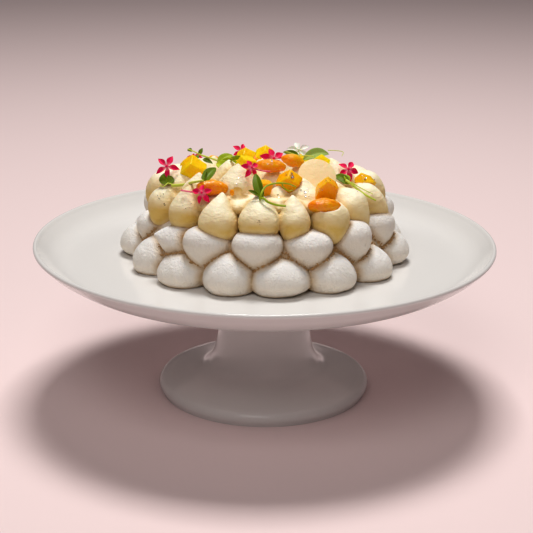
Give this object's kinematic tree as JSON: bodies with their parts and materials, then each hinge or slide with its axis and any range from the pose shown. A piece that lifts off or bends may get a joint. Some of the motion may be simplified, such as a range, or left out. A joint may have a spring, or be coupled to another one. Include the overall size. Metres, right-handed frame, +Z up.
{
  "type": "pavlova on a cake stand",
  "caption": "Round pavlova of piped meringue and cream kisses with mango, citrus and edible flowers, on a footed porcelain cake stand.",
  "frame": {"origin": "centre of the stand's foot, on the surface it stands on", "axes": "+Z up along the axis of the stand; the front of the pavlova faces -Y, and +X is to its right"},
  "size_m": [0.32, 0.3186, 0.177],
  "materials": {
    "porcelain": "smooth white glaze, high gloss",
    "meringue": "matt dry baked meringue, off-white, fine pores, beige in the creases",
    "cream": "satin pale yellow whipped cream",
    "white_chocolate": "satin white chocolate",
    "mango": "wet cut mango flesh",
    "citrus": "glossy orange fruit in syrup",
    "pink_petal": "soft magenta flower petals, veined",
    "white_petal": "soft white flower petals",
    "herb_green": "pea shoot leaves and stems",
    "silver_leaf": "flecks of silver leaf",
    "dark_speck": "dark brown specks"
  },
  "bodies": {
    "root": {"cake_stand": "porcelain", "meringue": "meringue", "cream": "cream", "chocolate_disc": "white_chocolate", "mango_1": "mango", "mango_2": "mango", "mango_3": "mango", "mango_4": "mango", "mango_5": "mango", "mango_6": "mango", "mango_7": "mango", "mango_8": "mango", "mango_9": "mango", "mango_10": "mango", "mango_11": "mango", "citrus_1": "citrus", "citrus_2": "citrus", "citrus_3": "citrus", "citrus_4": "citrus", "citrus_5": "citrus", "flower_1": "pink_petal", "flower_2": "pink_petal", "flower_3": "pink_petal", "flower_4": "pink_petal", "flower_5": "pink_petal", "flower_6": "pink_petal", "flower_7": "pink_petal", "flower_8": "pink_petal", "flower_white": "white_petal"}
  },
  "joints": []
}
